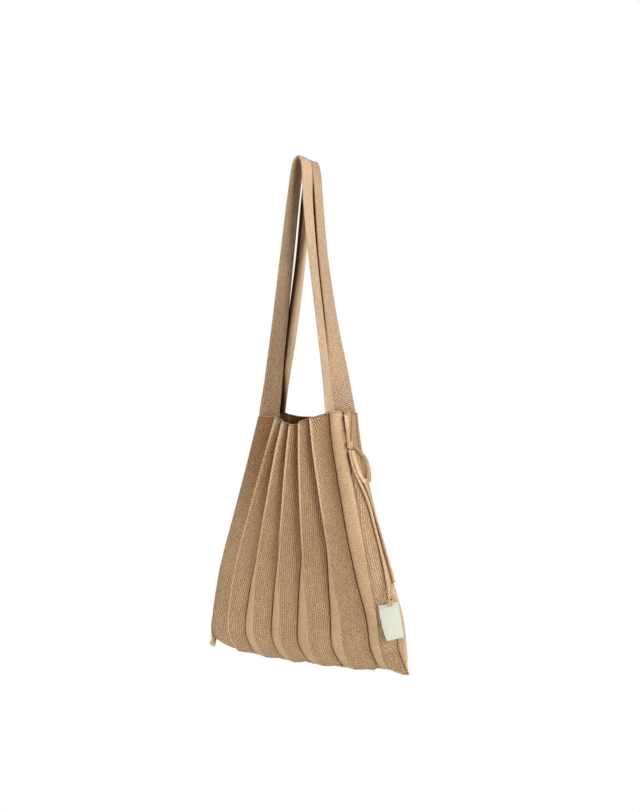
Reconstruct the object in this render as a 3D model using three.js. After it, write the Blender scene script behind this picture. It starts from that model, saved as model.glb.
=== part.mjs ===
// A pleated knit shoulder bag, hanging by its two handles. Millimetres, +Z up.
// The origin is where the handles hang, under their tops. The bag's width runs along X and its front
// faces -Y. The body is two pleated knit panels, sewn together down one valley at each side and along
// the bottom. Each handle is a flat knit band, and a knitted tie hangs from the right side of the mouth.
import * as THREE from 'three';

// Driving dimensions
const WALL = 1.8; // thickness of the knit
const SEAM_GAP = 0.6; // the two panels stop this far from each other
const MOUTH_HEIGHT = -289; // the mouth's two sides
const BODY_DROP = 286; // from the mouth's sides down to the bottom seam, at the middle of the bag
const DIP_FADE = 1.5; // how soon the sag of the rims is gone further down
const DIP_SIDES = 0.55; // share of the half depth over which that sag grows from the mouth's sides
const LEFT_LIFT = 9; // the bottom corners end this far above the middle of the bottom
const RIGHT_LIFT = 4;
const MOUTH_SKEW = 0.14; // the front of the mouth lies this far to the left for each mm forward
const SKEW_FADE = 70; // and straightens over this drop
const PLEATS = 7; // pleats on each panel
const PLEAT_END = 258; // drop where the pleats are fully spread, above the turn of the bottom
const PLEAT_SPREAD = 1.7; // the pleats fan out early, near the mouth
const VALLEY_FLAT = 1.6; // width of the round at the bottom of a valley
const RIM_SHARE = 0.55; // share of their depth that the valleys have at the mouth's rim
const RIM_REACH = 30; // and the drop over which they get as deep as they are below
const TUCK_START = 0.35; // share of the pleats' spread where the strips between them begin to open
const TUCK_END = 0.95; // and where they are open
const FACE_BOW = 0.4; // share of the depth that a pleat has fallen half way along its face
const STRIP_BOW = 0.5; // and half way along the strip before it
const ROLL_BOW = 0.3; // the last strip is a soft roll
const SWING = 7; // the pleats swing this far to the right round the bottom
const SWING_START = 248; // from this drop
const SCALLOP = 2; // the valleys end this far above the ridges at the bottom
const SCALLOP_START = 254;
const SCALLOP_END = 280;
const FULL_DEPTH = 24; // the pleats get shallow where the body is thinner than this, front to middle
const HANDLE_WIDTH = 27.5;
const HANDLE_THICK = 2.6; // two layers of knit
const HANDLE_EDGE = 1; // the folded edges of a handle taper over this width
const CORD = 3; // diameter of the tie
const CORD_SIDES = 8;
const KNOT_STEPS = 42;
const HANDLE_STEPS = 44;
const OUTLINE_STEPS = 960; // points of the outline that lengths round the body are measured along
const MITRE_LIMIT = 0.45; // keeps the wall from growing long at a sharp fold
const LABEL = { width: 24, height: 38, thick: 0.8, corner: 0.8 };

// Sections of the body: drop below the mouth's sides, half the width, half the depth front to back,
// squareness (2 is an ellipse) and how far the middle lies from the handles' top, along X.
const SECTIONS = [
  { drop: 0, halfWidth: 54.2, halfDepth: 36, squareness: 2.8, shift: -1.8 },
  { drop: 40, halfWidth: 64.2, halfDepth: 37, squareness: 2.6, shift: -3.8 },
  { drop: 110, halfWidth: 85.3, halfDepth: 36, squareness: 2.3, shift: -5.9 },
  { drop: 180, halfWidth: 106.5, halfDepth: 32, squareness: 2.1, shift: -6.7 },
  { drop: 230, halfWidth: 119.2, halfDepth: 28, squareness: 2, shift: -4.8 },
  { drop: 258, halfWidth: 123.2, halfDepth: 24, squareness: 2, shift: -5.2 },
  { drop: 274, halfWidth: 125, halfDepth: 16, squareness: 2, shift: -5 },
  { drop: 283, halfWidth: 126, halfDepth: 7, squareness: 2.6, shift: -5 },
  { drop: BODY_DROP, halfWidth: 126.3, halfDepth: 1.4, squareness: 10, shift: -5.2 },
];
const ROW_DROPS = [0, 8, 18, 30, 50, 75, 110, 145, 180, 207, 230, 246, 258, 267, 274, 279, 283, BODY_DROP];

// How far the free rims sag below the mouth's sides, where along X, and how far to both sides.
const FRONT_SAG = { depth: 13.3, middle: -20, reach: 52 };
const BACK_SAG = { depth: 7.5, middle: -8, reach: 50 };

// Folds of a panel, from its left side: where each ridge lies, as a share of the way across the panel,
// at the mouth and at the bottom; how far the valley before it is tucked back from it; and that
// valley's depth.
const FOLDS = [
  { mouth: 0.155, bottom: 0, tuckMouth: 9, tuckBottom: 11, depthMouth: 2.5, depthBottom: 6 },
  { mouth: 0.335, bottom: 0.14, tuckMouth: 3, tuckBottom: 3, depthMouth: 8, depthBottom: 6 },
  { mouth: 0.405, bottom: 0.285, tuckMouth: 3, tuckBottom: 10.5, depthMouth: 10, depthBottom: 7 },
  { mouth: 0.475, bottom: 0.427, tuckMouth: 3, tuckBottom: 11.5, depthMouth: 11, depthBottom: 7.5 },
  { mouth: 0.55, bottom: 0.572, tuckMouth: 3, tuckBottom: 15, depthMouth: 11, depthBottom: 8 },
  { mouth: 0.64, bottom: 0.722, tuckMouth: 3, tuckBottom: 14.5, depthMouth: 11, depthBottom: 8 },
  { mouth: 0.905, bottom: 0.88, tuckMouth: 17, tuckBottom: 12, depthMouth: 8, depthBottom: 8 },
];

// Sections of the handles from one end over the top to the other: the middle of the band, and the
// turn of its width from the X axis, in degrees.
const HANDLE_FRONT = [
  { x: -41.8, y: -15, z: -294, turn: 58 },
  { x: -41.4, y: -15, z: -287, turn: 60 },
  { x: -38, y: -15, z: -258, turn: 68 },
  { x: -34.5, y: -15, z: -228, turn: 74 },
  { x: -31, y: -14.5, z: -198, turn: 77 },
  { x: -21, y: -14.2, z: -112, turn: 83 },
  { x: -13, y: -14, z: -45, turn: 87 },
  { x: -8, y: -14, z: -12, turn: 89 },
  { x: -5.2, y: -14, z: -3, turn: 90 },
  { x: -1.2, y: -14, z: 1.3, turn: 90 },
  { x: 3.2, y: -14, z: -2.5, turn: 90 },
  { x: 5, y: -14, z: -12, turn: 90 },
  { x: 6, y: -14, z: -45, turn: 92 },
  { x: 12, y: -13.8, z: -112, turn: 95 },
  { x: 22.5, y: -13.2, z: -198, turn: 97 },
  { x: 29.4, y: -12.7, z: -258, turn: 97 },
  { x: 32.3, y: -12.4, z: -284, turn: 93 },
  { x: 32.7, y: -12.3, z: -288.2, turn: 92 },
];
const HANDLE_BACK = [
  { x: -41, y: 11.8, z: -289, turn: 100 },
  { x: -40.6, y: 12.2, z: -284, turn: 100 },
  { x: -37.8, y: 13.1, z: -258, turn: 98 },
  { x: -29.2, y: 13.8, z: -198, turn: 91 },
  { x: -16, y: 14, z: -112, turn: 92 },
  { x: -8.5, y: 14.2, z: -45, turn: 90 },
  { x: -5.5, y: 14.2, z: -12, turn: 90 },
  { x: -3.8, y: 14.2, z: -3, turn: 90 },
  { x: 0, y: 14.2, z: 1.3, turn: 90 },
  { x: 3.8, y: 14.2, z: -2.5, turn: 90 },
  { x: 5.2, y: 14.2, z: -12, turn: 90 },
  { x: 6.2, y: 14.2, z: -45, turn: 90 },
  { x: 11.4, y: 14.2, z: -112, turn: 86 },
  { x: 23.6, y: 14.6, z: -198, turn: 76 },
  { x: 29.3, y: 14.8, z: -228, turn: 71 },
  { x: 34.7, y: 14.9, z: -258, turn: 65 },
  { x: 39.2, y: 14.7, z: -284, turn: 58 },
  { x: 39.9, y: 14.6, z: -288.5, turn: 57 },
];

// The tie, laid on the outside of the right side: routes of its four free lengths.
const TIE_ANCHOR = [
  [52.8, -13, -291], [53.7, -13.9, -296.5], [54.8, -15.2, -305], [55.9, -16.3, -312.8], [56.7, -17, -318.2],
];
const TIE_LOOP = [
  [61.8, -16.3, -330.4], [62.9, -16.1, -335], [65.7, -15, -345.7], [69.2, -12.4, -356.8], [72.2, -9.2, -364],
  [74.7, -4, -367.6], [75.1, 3, -367.2], [73, 9.6, -364.4], [70.2, 14.4, -358.8], [67.4, 16.6, -350.4],
  [65.3, 15, -342], [64.1, 8.6, -336.4], [63, 1.2, -332.4], [61.6, -6, -328.6], [60.8, -9.6, -326.6],
];
const TIE_TAIL_LONG = [
  [58.9, -18.4, -329.6], [61.2, -18, -340.2], [64, -16.4, -351.2], [67.8, -13.2, -362.4],
  [71.5, -10.2, -372.3], [75, -7.4, -382.5], [78, -5.2, -394], [82.3, -4.2, -411], [86.9, -3.6, -428.5],
  [91.5, -3.8, -445.8], [96, -4.8, -462.8], [99.5, -6.4, -477.6], [102.2, -9.6, -488],
];
const TIE_TAIL_SHORT = [
  [60.3, -13, -329.6], [62.9, -12.2, -339.4], [66.1, -10.1, -350.4], [69.7, -6.1, -361.6], [72.3, -1.2, -372],
  [74.6, 2.8, -382.4], [78, 4.6, -394], [82.4, 4.8, -407.6], [87.4, 5, -422.9], [93.1, 5, -440.2],
  [98.8, 4.6, -457.4], [102.7, 4, -469.1], [104.6, 3.4, -475.2],
];
const TIE_KNOT = { middle: [58.7, -16.5, -323.6], facing: -16, radius: 2.3, tube: 1.05 };
const TAIL_KNOT = { middle: [103.5, -11.3, -490.8], facing: -43, radius: 1.6, tube: 0.72 };
const LABEL_PLACE = { middle: [104.45, -10.4, -514.5], facing: -47, lean: 9.6, turn: 6 };

const knitCloth = new THREE.MeshStandardMaterial({ color: 0xb8936a, roughness: 0.9, metalness: 0 });
const knitBand = new THREE.MeshStandardMaterial({ color: 0xb48f67, roughness: 0.9, metalness: 0 });
const knitCord = new THREE.MeshStandardMaterial({ color: 0xbd9a72, roughness: 0.9, metalness: 0 });
const wovenLabel = new THREE.MeshStandardMaterial({ color: 0xdfe3d6, roughness: 0.8, metalness: 0 });

function mix(from, to, share) {
  return from + (to - from) * share;
}

// A smooth step from 0 at the start to 1 at the end.
const ease = THREE.MathUtils.smoothstep;

// One column of the section table at any drop: a smooth curve through its rows that never overshoots.
function sectionColumn(column, drop) {
  const slopes = SECTIONS.slice(1).map((row, i) => {
    const before = SECTIONS[i];
    return (row[column] - before[column]) / (row.drop - before.drop);
  });
  const tangents = SECTIONS.map((row, i) => {
    const before = slopes[Math.max(i - 1, 0)];
    const after = slopes[Math.min(i, slopes.length - 1)];
    return before * after > 0 ? (2 * before * after) / (before + after) : 0;
  });
  const next = SECTIONS.findIndex((row) => row.drop > drop);
  const i = next < 0 ? SECTIONS.length - 2 : Math.max(next - 1, 0);
  const span = SECTIONS[i + 1].drop - SECTIONS[i].drop;
  const t = (drop - SECTIONS[i].drop) / span;
  const rise = t * t * (3 - 2 * t);
  const bend = tangents[i] * t * (1 - t) ** 2 - tangents[i + 1] * t * t * (1 - t);
  return mix(SECTIONS[i][column], SECTIONS[i + 1][column], rise) + span * bend;
}

// The body's outline at a drop, from the left end along the front to the right end and back along the
// back: points, and the length of the way to each.
function outlineAt(drop) {
  const halfWidth = sectionColumn('halfWidth', drop);
  const halfDepth = sectionColumn('halfDepth', drop);
  const power = 2 / sectionColumn('squareness', drop);
  const shift = sectionColumn('shift', drop);
  const skew = MOUTH_SKEW * Math.exp(-drop / SKEW_FADE);
  const points = [];
  const lengths = [0];
  for (let i = 0; i <= OUTLINE_STEPS; i += 1) {
    const angle = Math.PI * (1 + (2 * i) / OUTLINE_STEPS);
    const across = Math.cos(angle);
    const along = Math.sin(angle);
    const y = halfDepth * Math.sign(along) * Math.abs(along) ** power;
    const x = halfWidth * Math.sign(across) * Math.abs(across) ** power + shift + skew * y;
    points.push(new THREE.Vector2(x, y));
    if (i > 0) lengths.push(lengths[i - 1] + points[i].distanceTo(points[i - 1]));
  }
  return { points, lengths, half: lengths[OUTLINE_STEPS / 2], halfWidth, halfDepth, shift };
}

// A point of the outline at a share of the way round (1 is once across a panel), moved inwards.
function onOutline(outline, share, inset) {
  const want = (((share % 2) + 2) % 2) * outline.half;
  const i = Math.max(outline.lengths.findIndex((length) => length > want), 1);
  const t = (want - outline.lengths[i - 1]) / (outline.lengths[i] - outline.lengths[i - 1]);
  const along = outline.points[i].clone().sub(outline.points[i - 1]);
  const point = outline.points[i - 1].clone().addScaledVector(along, t);
  along.normalize();
  return point.add(new THREE.Vector2(-along.y, along.x).multiplyScalar(inset));
}

// How far the rim's sag moves a point down, by the outline's point outside it.
function sagAt(outside, fallen) {
  const sag = outside.y < 0 ? FRONT_SAG : BACK_SAG;
  const away = Math.min(Math.abs(outside.x - sag.middle) / sag.reach, 1);
  const fromSides = ease(Math.abs(outside.y), 0, DIP_SIDES * SECTIONS[0].halfDepth);
  return sag.depth * Math.cos((away * Math.PI) / 2) ** 2 * fromSides * (1 - fallen) ** DIP_FADE;
}

// One ring of the pleated wall's middle surface: five points for each pleat, which are its ridge, the
// middle of its face, the two sides of its valley and the middle of the strip back to the next ridge.
function pleatRing(drop) {
  const outline = outlineAt(drop);
  const spread = Math.min(drop / PLEAT_END, 1);
  const fanned = 1 - (1 - spread) ** PLEAT_SPREAD;
  const opened = ease(spread, TUCK_START, TUCK_END);
  const belowRim = mix(RIM_SHARE, 1, ease(drop, 0, RIM_REACH));
  const shallow = Math.min(outline.halfDepth / FULL_DEPTH, 1);
  const swing = (SWING * Math.max((drop - SWING_START) / (BODY_DROP - SWING_START), 0) ** 2) / outline.half;
  const ridgeAt = (i) => {
    const fold = FOLDS[i % PLEATS];
    return Math.floor(i / PLEATS) + mix(fold.mouth, fold.bottom, fanned) + swing;
  };
  const ring = [];
  for (let i = 0; i < 2 * PLEATS; i += 1) {
    const next = FOLDS[(i + 1) % PLEATS];
    const ridge = ridgeAt(i);
    const nextRidge = ridgeAt(i + 1);
    const valley = nextRidge - mix(next.tuckMouth, next.tuckBottom, opened) / outline.half;
    const depth = mix(next.depthMouth, next.depthBottom, spread) * shallow * belowRim;
    const flat = ((i + 1) % PLEATS === 0 ? SEAM_GAP : VALLEY_FLAT) / 2 / outline.half;
    const stripBow = (i + 1) % PLEATS === PLEATS - 1 ? ROLL_BOW : STRIP_BOW;
    ring.push({ share: ridge, depth, inset: 0 });
    ring.push({ share: (ridge + valley) / 2, depth, inset: FACE_BOW });
    ring.push({ share: valley - flat, depth, inset: 1 });
    ring.push({ share: valley + flat, depth, inset: 1 });
    ring.push({ share: (valley + nextRidge) / 2, depth, inset: stripBow });
  }
  const fallen = drop / BODY_DROP;
  return ring.map(({ share, depth, inset }) => {
    const point = onOutline(outline, share, inset * depth);
    const sag = sagAt(onOutline(outline, share, 0), fallen);
    const across = (point.x - outline.shift) / outline.halfWidth;
    const lift = (across < 0 ? LEFT_LIFT : RIGHT_LIFT) * across ** 2 * fallen ** 2;
    const scallop = SCALLOP * inset * ease(drop, SCALLOP_START, SCALLOP_END);
    return new THREE.Vector3(point.x, point.y, MOUTH_HEIGHT - drop - sag + lift + scallop);
  });
}

// Which way the wall's outside faces in plan at each point of a ring, longer at a fold so that the wall
// keeps its thickness. Both sides of a seam face the same way.
function ringOffsets(ring) {
  const count = ring.length;
  const pointsPerPleat = count / (2 * PLEATS);
  const facing = (from, to) => {
    const along = new THREE.Vector2(to.x - from.x, to.y - from.y).normalize();
    return new THREE.Vector2(along.y, -along.x);
  };
  return ring.map((point, k) => {
    const isSeam = Math.floor(k / pointsPerPleat) % PLEATS === PLEATS - 1;
    const skipAfter = isSeam && k % pointsPerPleat === 2 ? 1 : 0;
    const skipBefore = isSeam && k % pointsPerPleat === 3 ? 1 : 0;
    const last = k - skipBefore + count;
    const before = facing(ring[(last - 1) % count], ring[last % count]);
    const after = facing(ring[(k + skipAfter) % count], ring[(k + 1 + skipAfter) % count]);
    const middle = before.clone().add(after).normalize();
    return middle.divideScalar(Math.max(MITRE_LIMIT, middle.dot(before)));
  });
}

// The outer and inner surfaces of the whole body as grids, rows from the mouth to the bottom. The
// offset leans with the wall, so that the bottom keeps its thickness where it turns under.
function bodySurfaces() {
  const rings = ROW_DROPS.map(pleatRing);
  const outer = [];
  const inner = [];
  rings.forEach((ring, row) => {
    const above = rings[Math.max(row - 1, 0)];
    const below = rings[Math.min(row + 1, rings.length - 1)];
    const offsets = ringOffsets(ring);
    const vectors = ring.map((point, k) => {
      const travel = below[k].clone().sub(above[k]);
      const plan = offsets[k].clone().normalize();
      const inwards = -(travel.x * plan.x + travel.y * plan.y);
      const lean = Math.atan2(inwards, -travel.z);
      const side = offsets[k].clone().multiplyScalar(Math.cos(lean) * WALL / 2);
      return new THREE.Vector3(side.x, side.y, -Math.sin(lean) * WALL / 2);
    });
    outer.push(ring.map((point, k) => point.clone().add(vectors[k])));
    inner.push(ring.map((point, k) => point.clone().sub(vectors[k])));
  });
  return { outer, inner };
}

function solidFrom(points, triangles) {
  const geometry = new THREE.BufferGeometry();
  const numbers = points.flatMap((point) => point.toArray());
  geometry.setAttribute('position', new THREE.Float32BufferAttribute(numbers, 3));
  geometry.setIndex(triangles);
  geometry.computeVertexNormals();
  return geometry;
}

// A closed solid between an outer and an inner grid of the same rows and columns.
function wallSolid(outer, inner) {
  const rows = outer.length;
  const columns = outer[0].length;
  const out = (row, column) => row * columns + column;
  const back = (row, column) => rows * columns + out(row, column);
  const triangles = [];
  const quad = (a, b, c, d) => triangles.push(a, b, c, a, c, d);
  for (let row = 0; row < rows - 1; row += 1) {
    for (let column = 0; column < columns - 1; column += 1) {
      quad(out(row, column), out(row + 1, column), out(row + 1, column + 1), out(row, column + 1));
      quad(back(row, column), back(row, column + 1), back(row + 1, column + 1), back(row + 1, column));
    }
    quad(out(row, 0), back(row, 0), back(row + 1, 0), out(row + 1, 0));
    const end = columns - 1;
    quad(out(row, end), out(row + 1, end), back(row + 1, end), back(row, end));
  }
  for (let column = 0; column < columns - 1; column += 1) {
    quad(out(0, column), out(0, column + 1), back(0, column + 1), back(0, column));
    const end = rows - 1;
    quad(out(end, column), back(end, column), back(end, column + 1), out(end, column + 1));
  }
  return solidFrom([...outer.flat(), ...inner.flat()], triangles);
}

// A panel runs from just past one side's seam valley to just before the other's.
function panelGeometry(surfaces, panel) {
  const count = surfaces.outer[0].length;
  const first = panel * (count / 2) - 2;
  const columns = Array.from({ length: count / 2 }, (_, i) => (first + i + count) % count);
  const pick = (grid) => grid.map((ring) => columns.map((k) => ring[k]));
  return wallSolid(pick(surfaces.outer), pick(surfaces.inner));
}

// A flat band along a table of sections. Its section is a six-sided strip with tapered edges.
function handleGeometry(sections) {
  const middle = new THREE.CatmullRomCurve3(sections.map((row) => new THREE.Vector3(row.x, row.y, row.z)));
  const turns = new THREE.CatmullRomCurve3(sections.map((row) => new THREE.Vector3(row.turn, 0, 0)));
  const half = HANDLE_WIDTH / 2;
  const face = half - HANDLE_EDGE;
  const thick = HANDLE_THICK / 2;
  const strip = [[-half, 0], [-face, -thick], [face, -thick], [half, 0], [face, thick], [-face, thick]];
  const points = [];
  for (let i = 0; i <= HANDLE_STEPS; i += 1) {
    const share = middle.getUtoTmapping(i / HANDLE_STEPS);
    const turn = THREE.MathUtils.degToRad(turns.getPoint(share).x);
    const along = middle.getTangent(share);
    const across = new THREE.Vector3(Math.cos(turn), Math.sin(turn), 0);
    across.addScaledVector(along, -across.dot(along)).normalize();
    const through = new THREE.Vector3().crossVectors(along, across);
    const centre = middle.getPoint(share);
    strip.forEach(([width, depth]) => {
      points.push(centre.clone().addScaledVector(across, width).addScaledVector(through, depth));
    });
  }
  const sides = strip.length;
  const triangles = [];
  for (let i = 0; i < HANDLE_STEPS; i += 1) {
    for (let k = 0; k < sides; k += 1) {
      const a = i * sides + k;
      const b = i * sides + ((k + 1) % sides);
      triangles.push(a, b, b + sides, a, b + sides, a + sides);
    }
  }
  const end = HANDLE_STEPS * sides;
  for (let k = 1; k < sides - 1; k += 1) {
    triangles.push(0, k + 1, k);
    triangles.push(end, end + k, end + k + 1);
  }
  return solidFrom(points, triangles);
}

function cordGeometry(route) {
  const path = new THREE.CatmullRomCurve3(route.map((point) => new THREE.Vector3(...point)));
  const section = new THREE.Shape(
    Array.from({ length: CORD_SIDES }, (_, i) => {
      const angle = (2 * Math.PI * i) / CORD_SIDES;
      return new THREE.Vector2(Math.cos(angle), Math.sin(angle)).multiplyScalar(CORD / 2);
    }),
  );
  const steps = Math.ceil(path.getLength() / (2 * CORD));
  return new THREE.ExtrudeGeometry(section, { steps, extrudePath: path });
}

// An overhand knot, lying flat on the side with its face turned outwards.
function knotMesh(name, knot) {
  const geometry = new THREE.TorusKnotGeometry(knot.radius, knot.tube, KNOT_STEPS, CORD_SIDES, 2, 3);
  const mesh = new THREE.Mesh(geometry, knitCord);
  mesh.name = name;
  mesh.rotation.set(0, Math.PI / 2, THREE.MathUtils.degToRad(knot.facing), 'ZYX');
  mesh.position.set(...knot.middle);
  return mesh;
}

function labelMesh(name) {
  const { width, height, thick, corner } = LABEL;
  const x = width / 2;
  const y = height / 2;
  const outline = new THREE.Shape([
    [-x + corner, -y], [x - corner, -y], [x, -y + corner], [x, y - corner],
    [x - corner, y], [-x + corner, y], [-x, y - corner], [-x, -y + corner],
  ].map(([across, up]) => new THREE.Vector2(across, up)));
  const geometry = new THREE.ExtrudeGeometry(outline, { depth: thick, bevelEnabled: false });
  geometry.translate(0, 0, -thick / 2);
  geometry.rotateZ(THREE.MathUtils.degToRad(LABEL_PLACE.turn));
  geometry.rotateX(Math.PI / 2 - THREE.MathUtils.degToRad(LABEL_PLACE.lean));
  geometry.rotateZ(Math.PI / 2 + THREE.MathUtils.degToRad(LABEL_PLACE.facing));
  const mesh = new THREE.Mesh(geometry, wovenLabel);
  mesh.name = name;
  mesh.position.set(...LABEL_PLACE.middle);
  return mesh;
}

function named(name, geometry, material) {
  const mesh = new THREE.Mesh(geometry, material);
  mesh.name = name;
  return mesh;
}

const bag = new THREE.Group();
const surfaces = bodySurfaces();
bag.add(named('panel_front', panelGeometry(surfaces, 0), knitCloth));
bag.add(named('panel_back', panelGeometry(surfaces, 1), knitCloth));
bag.add(named('handle_front', handleGeometry(HANDLE_FRONT), knitBand));
bag.add(named('handle_back', handleGeometry(HANDLE_BACK), knitBand));
bag.add(named('tie_anchor', cordGeometry(TIE_ANCHOR), knitCord));
bag.add(named('tie_loop', cordGeometry(TIE_LOOP), knitCord));
bag.add(named('tie_tail_long', cordGeometry(TIE_TAIL_LONG), knitCord));
bag.add(named('tie_tail_short', cordGeometry(TIE_TAIL_SHORT), knitCord));
bag.add(knotMesh('tie_knot', TIE_KNOT));
bag.add(knotMesh('tail_knot', TAIL_KNOT));
bag.add(labelMesh('side_label'));

export default bag;
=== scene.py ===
"""The pleated knit bag, hanging by its two handles: knit cloth, bands, tie, label, light and camera."""

import bpy
import numpy as np
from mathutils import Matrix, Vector


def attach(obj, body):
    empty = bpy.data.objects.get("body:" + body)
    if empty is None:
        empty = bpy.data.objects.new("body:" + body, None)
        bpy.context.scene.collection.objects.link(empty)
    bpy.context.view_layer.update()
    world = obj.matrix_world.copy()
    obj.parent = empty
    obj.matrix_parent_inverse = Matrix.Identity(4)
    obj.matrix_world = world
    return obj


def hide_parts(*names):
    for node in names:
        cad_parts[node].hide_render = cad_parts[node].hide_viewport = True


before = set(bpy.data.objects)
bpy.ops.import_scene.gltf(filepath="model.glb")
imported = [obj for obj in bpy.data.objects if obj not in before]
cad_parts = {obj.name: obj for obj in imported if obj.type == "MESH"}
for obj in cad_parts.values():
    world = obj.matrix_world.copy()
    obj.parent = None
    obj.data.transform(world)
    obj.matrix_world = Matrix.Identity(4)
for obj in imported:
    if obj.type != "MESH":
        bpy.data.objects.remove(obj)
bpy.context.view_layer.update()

MM = 0.001

# Body, in millimetres, as in the frame: drop below the mouth's sides, half width, half depth,
# squareness and how far the middle lies along X.
SECTIONS = np.array([
    [0, 53.4, 36, 2.8, -1.0],
    [40, 64.2, 37, 2.6, -3.8],
    [110, 85.3, 36, 2.3, -5.9],
    [180, 106.5, 32, 2.1, -6.7],
    [230, 119.2, 28, 2.0, -4.8],
    [258, 123.2, 24, 2.0, -5.2],
    [274, 125, 16, 2.0, -5],
    [283, 126, 7, 2.6, -5],
    [286, 126.3, 1.4, 10, -5.2],
])
HALF_WIDTH, HALF_DEPTH, SQUARENESS, SHIFT = 1, 2, 3, 4
# Folds of a panel from its left side: the ridge's share of the way across at the mouth and at the
# bottom, how far the valley before it is tucked back there, and that valley's depth there.
FOLDS = np.array([
    [0.155, 0.006, 9, 11, 2.5, 6],
    [0.368, 0.140, 3, 3, 8, 6],
    [0.425, 0.285, 3, 15, 10, 6],
    [0.485, 0.427, 3, 15, 11, 7],
    [0.560, 0.572, 3, 19, 11, 8],
    [0.650, 0.722, 3, 16, 11, 8],
    [0.905, 0.880, 17, 12, 8, 8],
])
# The rest of the body, with the names that the part's source explains.
WALL = 1.8
MOUTH_HEIGHT = -289
BODY_DROP = 286
DIP_FADE = 1.5
DIP_SIDES = 0.55
LEFT_LIFT = 9
RIGHT_LIFT = 4
MOUTH_SKEW = 0.14
SKEW_FADE = 70
PLEAT_END = 258
PLEAT_SPREAD = 1.7
FACE_BOW = 0.5
STRIP_BOWS = np.array([0.5, 0.5, 0.5, 0.5, 0.5, 0.5, 0.12])
FULL_DEPTH = 24
RIM_SHARE = 0.55
RIM_REACH = 30
TUCK_START = 0.5
TUCK_END = 1.0
SWING = 7
SWING_START = 248
SCALLOP = 4
SCALLOP_START = 254
SCALLOP_END = 280
# Cloth edges that the solids leave out: the crease in each valley, the raised edge of each ridge, the front
# panel's left bottom corner, which is lifted above the ear of cloth behind it and moved in, and the right
# bottom corner's tip and the notch beside it.
CREASE = 1.3
RIDGE_EDGE = 0.45
CORNER_LIFT = 8.5
CORNER_IN = 2.5
EAR_DROP = 2.8
TIP_DROP = 3.5
NOTCH_LIFT = 3
# Where these corners are, in shares of the way from the bottom's middle to its end, and the part of an
# arch that the ear's strip hangs in.
CORNER_SHARES = (0.7, 1.0)
CORNER_IN_SHARES = (0.85, 1.0)
TIP_SHARES = (0.86, 1.0)
NOTCH_SHARE = 0.81
NOTCH_WIDTH = 0.06
EAR_ARCH = (0.15, 0.8)
# How round the cloth is in valleys, on strips, on the soft roll, on faces, and on ridges at the mouth and at
# the bottom, as radii.
VALLEY_ROUND = 0.4
STRIP_ROUND = 2.0
ROLL_ROUND = 6.0
FACE_ROUND = 4.0
RIDGE_ROUNDS = (0.5, 1.2)
# Ribs of each pleat, from the left: how they slant at the mouth and at the bottom, in mm across for each mm
# down, what share more of them lie side by side at the mouth, and how many there are, as a share.
RIB_SLANTS = np.array([
    [0.3, 0.1], [0.4, 0.05], [0.4, 0.0], [0.05, 0.05], [0.0, 0.0], [-0.35, -0.45], [0.4, -0.4],
])
RIB_GATHERS = np.array([0.0, 0.3, 0.35, 0.2, 0.1, 0.0, 0.0])
RIB_SHARES = np.array([0.88, 1.02, 1.05, 1.12, 1.15, 1.0, 0.95])
# How bright the painted highlight on the edge of each ridge is, at the mouth and at the bottom.
RIDGE_HIGHLIGHTS = np.array([
    [0.2, 0.0], [1.0, 1.0], [1.0, 0.5], [0.9, 0.2], [0.7, 0.1], [0.8, 0.1], [0.2, 0.1],
])
# How much painted shade the faces get towards the next fold, at the mouth and at the bottom.
PAINTED_FACE_SHADES = np.array([
    [0.4, 0.05], [0.9, 0.1], [1.2, 0.15], [1.2, 0.2], [1.1, 0.25], [1.1, 0.3], [0.4, 0.3],
])
# The groove beside the soft roll: its depth, half width and distance from the roll's ridge, the share of its
# depth that it loses and the drops over which it does, and the depth of folds where it is whole.
GROOVE_DEPTH = 3.5
GROOVE_WIDTH = 2.4
GROOVE_PLACE = 1.0
GROOVE_LOSS = 0.7
GROOVE_DROPS = (60, 200)
GROOVE_FOLDS = 8
# How far the free rims sag, where along X, and how far to the left and to the right of that. The front rim
# also steps down towards the left handle, over these places to the left.
FRONT_SAG = (13, -4, 34, 46)
BACK_SAG = (7.5, -8, 50, 50)
LEFT_SAG = 4.5
LEFT_SAG_PLACES = (22, 38)
# How far the rim rises over the roll, over the side beyond it, which is that wide, and at a middle ridge,
# how steep and how long that step is, and the drop where all of this is gone.
ROLL_RISE = 1.6
SIDE_RISE = 2.6
SIDE_ARCH = 20
STEP_RISE = 2.2
STEP_EDGE = 0.6
STEP_FADE = (3, 24)
ARCH_DROP = 22

# Handles: middle of the band and the turn of its width from the X axis, in degrees.
HANDLE_FRONT = np.array([
    [-42.6, -15, -294, 58], [-42.2, -15, -287, 60], [-38, -15, -258, 68], [-34.5, -15, -228, 74],
    [-30.8, -14.5, -198, 77], [-20.4, -14.2, -112, 83], [-12.3, -14, -45, 87], [-7.6, -14, -12, 89],
    [-5.2, -14, -3, 90], [-1.2, -14, 1.3, 90], [3.2, -14, -2.5, 90], [5, -14, -12, 90],
    [6, -14, -45, 92], [12, -13.8, -112, 95], [22.5, -13.2, -198, 97], [29.4, -12.7, -258, 97],
    [32.3, -12.4, -284, 93], [32.7, -12.3, -288.2, 92],
])
HANDLE_BACK = np.array([
    [-41, 11.8, -289, 100], [-40.6, 12.2, -284, 100], [-37.8, 13.1, -258, 98], [-29.2, 13.8, -198, 91],
    [-16.9, 14, -112, 92], [-9.6, 14.2, -45, 90], [-5.7, 14.2, -12, 90], [-4.2, 14.2, -3, 90],
    [-1.6, 14.2, 1.0, 90], [0.8, 14.2, -3.5, 90], [2.8, 14.2, -14, 90], [5.6, 14.2, -45, 90],
    [11.4, 14.2, -112, 86], [23.6, 14.6, -198, 75], [28.9, 14.8, -228, 66], [33.7, 14.9, -258, 57],
    [38.6, 14.7, -284, 53], [39.3, 14.6, -288.5, 52], [39.7, 14.5, -291, 51],
])
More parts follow.
